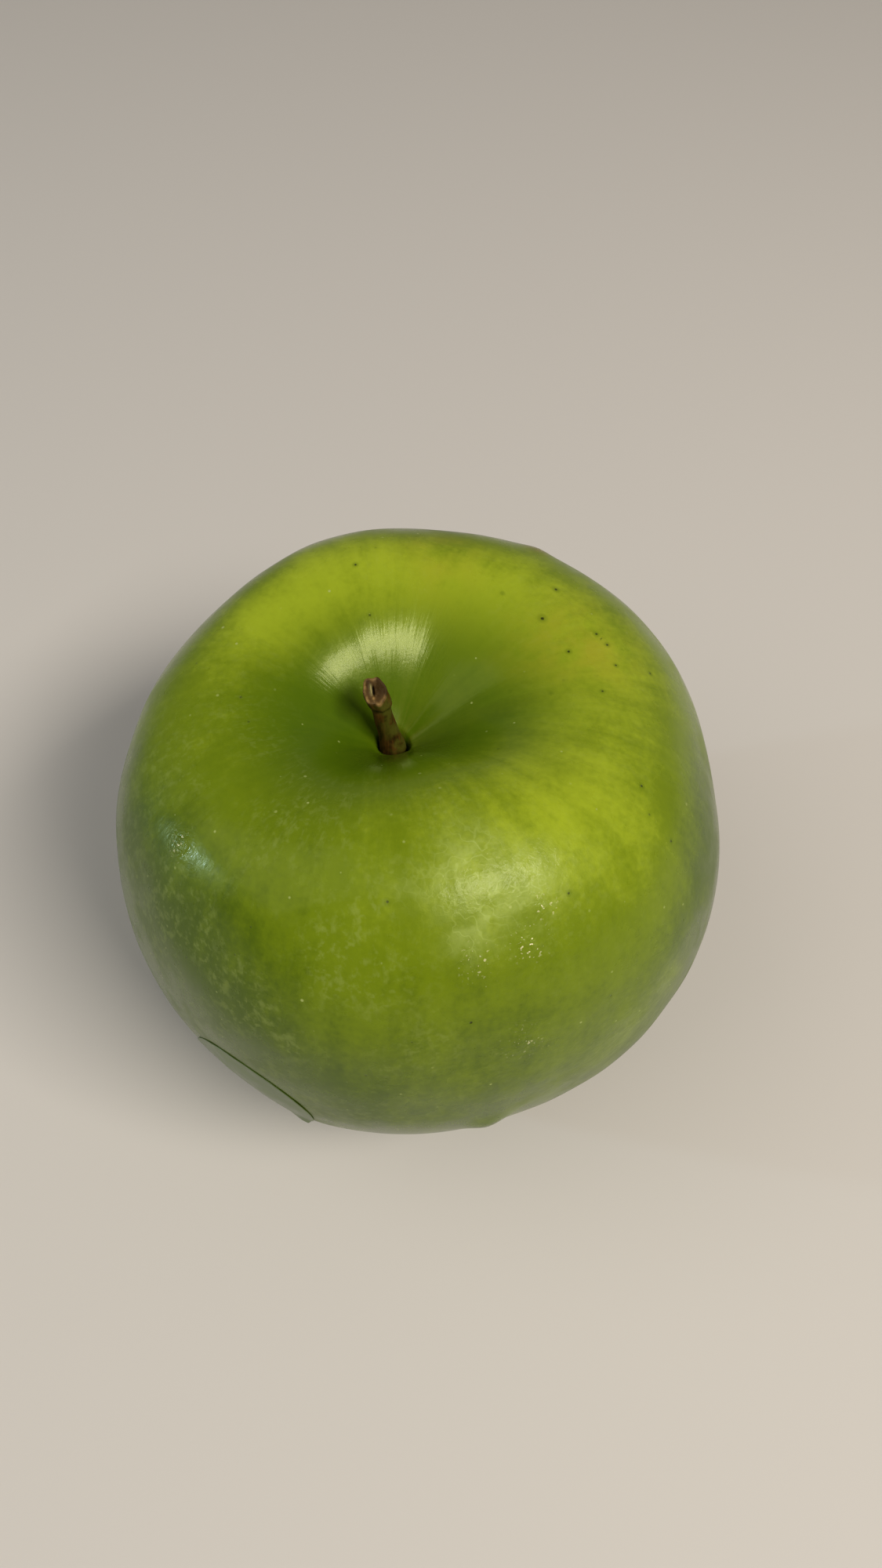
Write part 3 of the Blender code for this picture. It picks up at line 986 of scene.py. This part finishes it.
@dataclass
class Stem:
    """A short, slightly bent stalk, with a knuckle and an oblique, fibrous cut end.

    Each station of its course is a height over the floor of the cavity, a shift to +X, a shift
    to +Y and a radius, all in millimetres.
    """

    floor: Vector
    finish: StemFinish = field(default_factory=StemFinish)
    course: tuple[tuple[float, float, float, float], ...] = (
        (-4.5, 0.0, 0.0, 1.50),
        (-1.5, 0.0, 0.0, 1.62),
        (0.8, -0.1, 0.1, 1.56),
        (3.0, -0.5, 0.2, 1.30),
        (5.5, -1.0, 0.2, 1.20),
        (8.0, -1.4, 0.2, 1.22),
        (9.8, -1.75, 0.1, 1.34),
        (11.0, -1.95, 0.0, 1.32),
    )
    rows: int = 150
    cut_rows: int = 30
    columns: int = 96
    cut_slope: float = 0.72
    cut_lean: float = 0.20

    def build(self) -> bpy.types.Object:
        """Builds the stalk in place of the CAD stem."""
        shaft, shaft_fields = self.shaft()
        cut, cut_fields = self.cut_end(shaft[0])
        points = np.concatenate([cut, shaft, end_row(shaft[-1].mean(axis=0), self.columns)])
        fields = {
            name: lattice_values(np.concatenate([cut_fields[name], values, values[-1:]]))
            for name, values in shaft_fields.items()
        }
        vertices, faces = closed_lattice(points)
        stalk = make_piece("apple_stem", vertices, faces, self.finish.make(), fields)
        settle(stalk, "stem_wood", "stem")
        return stalk

    def shaft(self) -> tuple[Array, dict[str, Array]]:
        """The stalk's side, from the cut down to the foot.

        Returns:
            The grid of points, and the fields at each.
        """
        course = np.array(self.course) * MM
        rise = np.linspace(course[-1, 0], course[0, 0], self.rows)
        heights, *tracks = course.T
        middle_x, middle_y, radius = (through_stations(heights, track, rise) for track in tracks)
        rise, angle = np.meshgrid(rise, round_angles(self.columns), indexing="ij")
        around = spiral(angle, rise / (5.0 * MM))
        ribs = WaveNoise(1.1, 31).at(around * np.array([1.0, 1.0, 0.5]))
        knobs = WaveNoise(0.9, 32).at(around)
        knuckle = bell(rise - 9.3 * MM, 0.9 * MM) * bell(wrapped(angle + 0.35), 0.7)
        notch = bell(rise - 8.3 * MM, 0.6 * MM) * bell(wrapped(angle + 1.4), 0.9)
        lift = (0.040 * ribs + 0.035 * knobs + 0.34 * knuckle - 0.16 * notch) * MM
        out = radius[:, None] + lift * smooth_step(rise, -2.0 * MM, 0.0)
        local_x, local_y = out * np.cos(angle), out * np.sin(angle)
        top = smooth_step(rise, 7.5 * MM, 11.0 * MM)
        stretch = 1.0 + 0.10 * top
        tilt = (self.cut_slope * local_y - self.cut_lean * local_x) * top
        x = self.floor.x + middle_x[:, None] + local_x * stretch
        y = self.floor.y + middle_y[:, None] + local_y * stretch
        points = np.stack([x, y, self.floor.z + rise + tilt], axis=-1)
        blank = np.zeros_like(rise)
        fields = {
            "cut": bell(rise - 11.0 * MM, 0.20 * MM) * 0.8,
            "rim": blank + 1.0,
            "fibre": blank,
            "slit": blank,
            "olive": np.clip(0.35 + 0.9 * np.cos(angle + 0.3), 0.0, 1.0),
        }
        return points, fields

    def cut_end(self, rim: Array) -> tuple[Array, dict[str, Array]]:
        """The oblique cut: a raised rim round a sunken pith, with a torn fibre and a slit.

        Args:
            rim: The stalk's topmost ring of points.

        Returns:
            The grid of points from the middle out to the rim, and the fields at each.
        """
        share = np.linspace(0.0, 1.0, self.cut_rows + 1)[:-1, None]
        middle = rim.mean(axis=0)
        flat = middle + (rim - middle) * share[..., None]
        u = (flat[..., 0] - middle[0]) / MM
        v = (flat[..., 1] - middle[1]) / MM
        torn = WaveNoise(0.5, 33).at(np.stack([u, v, 0.0 * u], axis=-1))
        edge = 0.04 + bell(share - 0.88, 0.12) * (0.7 + 0.3 * np.cos(np.arctan2(v, u) + 2.4))
        pith = bell(share, 0.55, 3.0)
        fibre = bell(u + 0.42 + 0.15 * v, 0.17) * bell(v - 0.1, 0.52, 4.0)
        slit = bell(u + 0.10 + 0.15 * v, 0.11) * bell(v - 0.05, 0.45, 4.0)
        nub = bell(np.hypot(u + 0.15, v + 0.72), 0.20)
        lift = 0.10 * edge - 0.30 * pith + 0.34 * fibre - 0.34 * slit + 0.26 * nub + 0.035 * torn * pith
        normal = np.array([self.cut_lean, -self.cut_slope, 1.0])
        normal /= np.linalg.norm(normal)
        points = flat + (lift * MM * (share < 1.0))[..., None] * normal
        wood = np.clip(0.08 + edge + 0.9 * nub - 0.35 * (u > 0.2) * smooth_step(v, -0.2, 0.6), 0.0, 1.0)
        fields = {
            "cut": np.ones_like(u),
            "rim": wood * np.ones_like(u),
            "fibre": np.clip(fibre, 0.0, 1.0) * 0.9,
            # Where the slit's painted shade lies
            "slit": np.clip(slit * 1.3, 0.0, 1.0),
            "olive": np.zeros_like(u),
        }
        return points, fields


# --- The calyx ---


@dataclass(frozen=True)
class DriedFinish:
    """Dried flower parts: dull, brittle brown tissue, paler where it is thin or hairy."""

    name: str
    dark: str
    light: str
    grain_mm: float = 0.6
    grain_height: float = 0.08 * MM
    roughness: float = 0.85

    def make(self) -> bpy.types.Material:
        """Builds the material."""
        graph = Graph(self.name)
        add = graph.add_node
        grain = add(Kind.NOISE, add(Kind.PLACE), per_metre(self.grain_mm), 5.0)
        mottled = add(Kind.REMAP, grain, 0.35, 0.65)
        return graph.shade(
            self.dark,
            {
                "Base Color": add(Kind.LAYER, mottled, self.dark, self.light),
                "Roughness": self.roughness,
                "Normal": add(Kind.BUMP, grain, self.grain_height),
            },
        )


def tube_along(
    spine: Array, across: Array, wide: Array, thick: Array, sides: int
) -> Array:
    """A closed tube of flattened rings along a spine.

    Args:
        spine: Points along the middle, rows by 3.
        across: The ring's wide direction at each row, rows by 3.
        wide: Half the ring's width at each row.
        thick: Half the ring's thickness at each row.
        sides: Points round each ring.

    Returns:
        A grid whose rings are spine + wide * cos(a) * across + thick * sin(a) * side, where side
        is square to the spine, with the two ends drawn in to single points.
    """
    ahead = np.gradient(spine, axis=0)
    ahead /= np.linalg.norm(ahead, axis=1, keepdims=True)
    across = across - (across * ahead).sum(axis=1, keepdims=True) * ahead
    across /= np.linalg.norm(across, axis=1, keepdims=True)
    side = np.cross(across, ahead)
    angle = round_angles(sides)
    broad = np.outer(wide, np.cos(angle))[..., None] * across[:, None]
    deep = np.outer(thick, np.sin(angle))[..., None] * side[:, None]
    body = spine[:, None] + broad + deep
    return np.concatenate([end_row(spine[0], sides), body, end_row(spine[-1], sides)])


@dataclass
class Calyx:
    """What is left of the flower in the basin: five curled sepals round a tuft of stamens."""

    shape: FruitShape
    sepal_finish: DriedFinish = DriedFinish("dried_sepal", "#3E3017", "#75653C")
    stamen_finish: DriedFinish = DriedFinish("dried_stamens", "#2E2213", "#6B5636", 0.4)
    sepals: int = 5
    ring: float = 4.2 * MM
    sepal_length: float = 5.0 * MM
    sepal_width: float = 4.2 * MM
    sepal_tip: float = 0.12 * MM
    sepal_thickness: float = 0.30 * MM
    sepal_crinkle: float = 0.06 * MM
    sepal_cup_radius: float = 1.6 * MM
    stamens: int = 14
    tuft_radius: float = 1.0 * MM
    stamen_length: float = 4.0 * MM
    seed: int = 51

    def build(self) -> list[bpy.types.Object]:
        """Builds the sepals and the stamens in place of the CAD ones."""
        draw = np.random.default_rng(self.seed)
        material = self.sepal_finish.make()
        pieces = [self.sepal(number, draw, material) for number in range(self.sepals)]
        pieces.append(self.tuft(draw))
        return pieces

    def sepal(
        self, number: int, draw: np.random.Generator, material: bpy.types.Material
    ) -> bpy.types.Object:
        """One leaf that hangs from the basin's floor, leans in and curls out at its tip.

        Args:
            number: Which of the sepals, from 0.
            draw: The random numbers to use.
            material: What it is made of.

        Returns:
            The finished piece.
        """
        floor = self.shape.end(math.pi)
        azimuth = TURN * number / self.sepals
        outward = np.array([math.cos(azimuth), math.sin(azimuth), 0.0])
        sideways = np.array([-math.sin(azimuth), math.cos(azimuth), 0.0])
        under = math.pi - math.atan2(self.ring, self.shape.centre.z - floor.z)
        root = self.shape.point(np.array([under]), np.array([azimuth]))[0]
        along = np.linspace(0.0, 1.0, 40)
        closing = 2.1 * MM * draw.uniform(0.85, 1.1)
        curl = 1.5 * MM * draw.uniform(0.5, 1.2)
        twist = draw.uniform(-0.5, 0.5)
        inward = closing * np.sin(0.75 * math.pi * along) - curl * smooth_step(along, 0.62, 1.0)
        sway = 0.5 * MM * draw.uniform(-1.0, 1.0) * along**2
        drop = self.sepal_length * draw.uniform(0.85, 1.0) * along
        start = np.array([root[0], root[1], root[2] - 0.25 * MM])
        spine = start - inward[:, None] * outward + sway[:, None] * sideways
        spine[:, 2] -= drop
        turn = twist * along
        across = np.cos(turn)[:, None] * sideways + np.sin(turn)[:, None] * outward
        taper = (1.0 - along**1.6) ** 0.8 * (0.75 + 0.25 * bell(along - 0.25, 0.3))
        wide = np.maximum(0.5 * self.sepal_width * taper, self.sepal_tip)
        thick = 0.5 * self.sepal_thickness * (1.0 - 0.6 * along)
        grid = tube_along(spine, across, wide, thick, 28)
        cup = (grid[1:-1] - spine[:, None]) @ sideways
        grid[1:-1] -= (cup**2 / (2.0 * self.sepal_cup_radius))[..., None] * outward
        crinkle = WaveNoise(1.6 * MM, 60 + number).at(grid[1:-1])
        grid[1:-1] += (self.sepal_crinkle * crinkle)[..., None] * outward
        vertices, faces = closed_lattice(grid)
        leaf = make_piece(f"sepal_leaf_{number + 1}", vertices, faces, material)
        settle(leaf, "dried_sepal", f"sepal_{number + 1}")
        return leaf

    def tuft(self, draw: np.random.Generator) -> bpy.types.Object:
        """The stamens and styles: thin tapered threads that spread as they hang."""
        floor = np.array(self.shape.end(math.pi))
        all_vertices, all_faces, count = [], [], 0
        for number in range(self.stamens):
            azimuth = TURN * number / self.stamens + draw.uniform(-0.2, 0.2)
            start_out = self.tuft_radius * draw.uniform(0.1, 0.55)
            spread = self.tuft_radius * draw.uniform(0.3, 1.1)
            along = np.linspace(0.0, 1.0, 16)
            out = start_out + spread * along**1.4
            bend = azimuth + draw.uniform(-0.5, 0.5) * along
            drop = 0.35 * MM + self.stamen_length * draw.uniform(0.55, 0.95) * along
            spine = floor + np.stack([out * np.cos(bend), out * np.sin(bend), -drop], axis=-1)
            across = np.tile([-math.sin(azimuth), math.cos(azimuth), 0.0], (16, 1))
            head = 0.10 * MM + 0.12 * MM * bell(along - 0.93, 0.08)
            grid = tube_along(spine, across, head, head, 10)
            vertices, faces = closed_lattice(grid)
            all_vertices.append(vertices)
            all_faces.extend([[index + count for index in face] for face in faces])
            count += len(vertices)
        threads = make_piece(
            "stamen_threads", np.concatenate(all_vertices), all_faces, self.stamen_finish.make()
        )
        settle(threads, "dried_stamens", "stamen_tuft")
        return threads


# --- The label ---


@dataclass(frozen=True)
class FilmFinish:
    """Thin satin label film in a dull leaf green, with nothing printed on it."""

    face: str = "#4A5E28"
    worn: str = "#5B6E38"
    roughness: tuple[float, float] = (0.34, 0.48)
    ior: float = 1.49
    coat: float = 0.2
    coat_roughness: float = 0.2

    def make(self) -> bpy.types.Material:
        """Builds the material."""
        graph = Graph("label_film")
        add = graph.add_node
        wear = add(Kind.NOISE, add(Kind.PLACE), per_metre(2.5), 4.0)
        rubbed = add(Kind.REMAP, wear, 0.4, 0.7)
        return graph.shade(
            self.face,
            {
                "Base Color": add(Kind.LAYER, rubbed, self.face, self.worn),
                "Roughness": add(Kind.REMAP, wear, 0.3, 0.7, *self.roughness),
                "IOR": self.ior,
                "Coat Weight": self.coat,
                "Coat Roughness": self.coat_roughness,
            },
        )


@dataclass
class Label:
    """A small round label laid on the skin, with one pinched fold at its edge."""

    fruit: Fruit
    finish: FilmFinish = field(default_factory=FilmFinish)
    azimuth: float = 236.0
    polar: float = 101.0
    radius: float = 9.2 * MM
    clearance: float = 0.03 * MM
    thickness: float = 0.07 * MM
    pinch_height: float = 0.50 * MM
    rim_lift: float = 0.02 * MM
    rings: int = 44
    columns: int = 160

    def build(self) -> bpy.types.Object:
        """Builds the film in place of the CAD label."""
        share = np.concatenate([[0.0], np.linspace(0.02, 1.0, self.rings)])
        share, around = np.meshgrid(share, round_angles(self.columns), indexing="ij")
        top = self.film(share, around, self.clearance + self.thickness)
        under = self.film(share, around, self.clearance)[::-1]
        vertices, faces = closed_lattice(np.concatenate([top, under]))
        film = make_piece("round_label", vertices, faces, self.finish.make())
        settle(film, "label_film", "skin_label")
        return film

    def film(self, share: Array, around: Array, lift: float) -> Array:
        """One face of the film.

        Args:
            share: Distance from the label's middle, from 0 to 1 at its rim.
            around: Angle round the label's middle.
            lift: Height of this face over the skin.

        Returns:
            The skin's places in the label's directions, lifted by lift + pinch + rim waves.
        """
        polar, azimuth = math.radians(self.polar), math.radians(self.azimuth)
        middle = direction_of(np.array(polar), np.array(azimuth))
        sideways = np.array([-math.sin(azimuth), math.cos(azimuth), 0.0])
        upwards = np.cross(middle, sideways)
        reach = self.radius / self.fruit.shape.radius(np.array(polar), np.array(azimuth))
        right = (share * np.cos(around))[..., None] * sideways
        up = (share * np.sin(around))[..., None] * upwards
        directions = middle + reach * (right + up)
        pinch = bell(wrapped(around + 0.62), 0.10) * smooth_step(share, 0.62, 1.0)
        waves = WaveNoise(0.5, 71).at(spiral(around, np.zeros_like(around)))
        rim = smooth_step(share, 0.86, 1.0)
        height = lift + self.pinch_height * pinch + self.rim_lift * (1.0 + waves) * rim
        return self.fruit.skin(*angles_of(directions), height)


# --- The studio ---


class Glow(Enum):
    """The colours of light in the studio."""

    WARM = "#FFF8EE"
    NEUTRAL = "#FFFAF4"
    SKY = "#CBE9FF"
    ROOM = "#E6E3DF"


@dataclass(frozen=True)
class Lamp:
    """A soft rectangular light that faces the fruit, placed by angles in degrees."""

    name: str
    azimuth: float
    elevation: float
    distance: float
    width: float
    height: float
    watts: float
    glow: Glow


@dataclass
class Studio:
    """A plain pale floor, a few soft lights and the camera over the fruit's front."""

    aim: Vector = field(default_factory=lambda: Vector((0.0, 0.0, 0.045)))
    eye: Vector = field(default_factory=lambda: Vector((0.0, -94.98, 177.59)) * MM)
    forward: Vector = field(default_factory=lambda: Vector((0.01455, 0.58310, -0.81227)))
    upward: Vector = field(default_factory=lambda: Vector((-0.00060, 0.81236, 0.58315)))
    focal_mm: float = 28.8
    sensor_mm: float = 36.0
    floor_size: float = 2.4
    floor_depth: float = 0.02
    floor_colour: str = "#CFCAC3"
    room_strength: float = 0.24
    lamps: tuple[Lamp, ...] = (
        Lamp("key", -42.0, 50.0, 0.80, 0.41, 0.20, 5.5, Glow.WARM),
        Lamp("fill", 195.0, 50.0, 1.00, 0.90, 0.90, 2.4, Glow.NEUTRAL),
        Lamp("window", -178.0, 11.0, 0.60, 0.026, 0.030, 0.55, Glow.SKY),
    )

    def build(self) -> None:
        """Builds the floor, the lights, the room's own light and the camera."""
        self.lay_floor()
        for lamp in self.lamps:
            self.hang(lamp)
        self.light_room()
        self.set_camera()

    def lay_floor(self) -> None:
        """A matt pale slab whose top is the plane that the fruit stands on."""
        half = self.floor_size / 2.0
        corners = [(-half, -half), (half, -half), (half, half), (-half, half)]
        heights = (0.0, -self.floor_depth)
        vertices = np.array([(x, y, z) for z in heights for x, y in corners])
        faces = [[0, 1, 2, 3], [7, 6, 5, 4]]
        faces += [[k, k + 4, (k + 1) % 4 + 4, (k + 1) % 4] for k in range(4)]
        matt = {"Roughness": 0.75, "Specular IOR Level": 0.2}
        material = Graph("pale_floor").shade(self.floor_colour, matt)
        floor = make_piece("floor", vertices, faces, material)
        floor.data.shade_flat()

    def hang(self, lamp: Lamp) -> None:
        """Places one lamp and turns it to the fruit."""
        light = bpy.data.lights.new(lamp.name, "AREA")
        light.shape = "RECTANGLE"
        light.size = lamp.width
        light.size_y = lamp.height
        light.energy = lamp.watts
        light.color = linear(lamp.glow.value)[:3]
        azimuth, elevation = math.radians(lamp.azimuth), math.radians(lamp.elevation)
        away = Vector(direction_of(math.pi / 2.0 - elevation, azimuth))
        fixture = bpy.data.objects.new(lamp.name, light)
        fixture.location = self.aim + lamp.distance * away
        fixture.rotation_euler = away.to_track_quat("Z", "Y").to_euler()
        bpy.context.scene.collection.objects.link(fixture)

    def light_room(self) -> None:
        """A dim even light from all round, as from the walls of a room."""
        world = bpy.data.worlds.new("room")
        world.use_nodes = True
        background = world.node_tree.nodes["Background"]
        background.inputs["Color"].default_value = linear(Glow.ROOM.value)
        background.inputs["Strength"].default_value = self.room_strength
        bpy.context.scene.world = world

    def set_camera(self) -> None:
        """The camera, close over the fruit's front and looking down on it."""
        lens = bpy.data.cameras.new("camera")
        lens.lens = self.focal_mm
        lens.sensor_width = self.sensor_mm
        lens.clip_start = 0.01
        camera = bpy.data.objects.new("camera", lens)
        backward = -self.forward.normalized()
        rightward = self.upward.cross(backward).normalized()
        upward = backward.cross(rightward)
        turn = Matrix((rightward, upward, backward)).transposed()
        camera.matrix_world = Matrix.Translation(self.eye) @ turn.to_4x4()
        bpy.context.scene.collection.objects.link(camera)
        bpy.context.scene.camera = camera


# --- All together ---


def main() -> None:
    """Builds the apple and the studio, and hands the scene over."""
    shape = FruitShape.from_box(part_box("fruit_body"))
    fruit = Fruit(shape)
    fruit.build()
    Stem(shape.end(0.0)).build()
    Calyx(shape).build()
    Label(fruit).build()
    Studio().build()
    bpy.context.scene.view_settings.view_transform = "Standard"


if __name__ == "__main__":
    main()
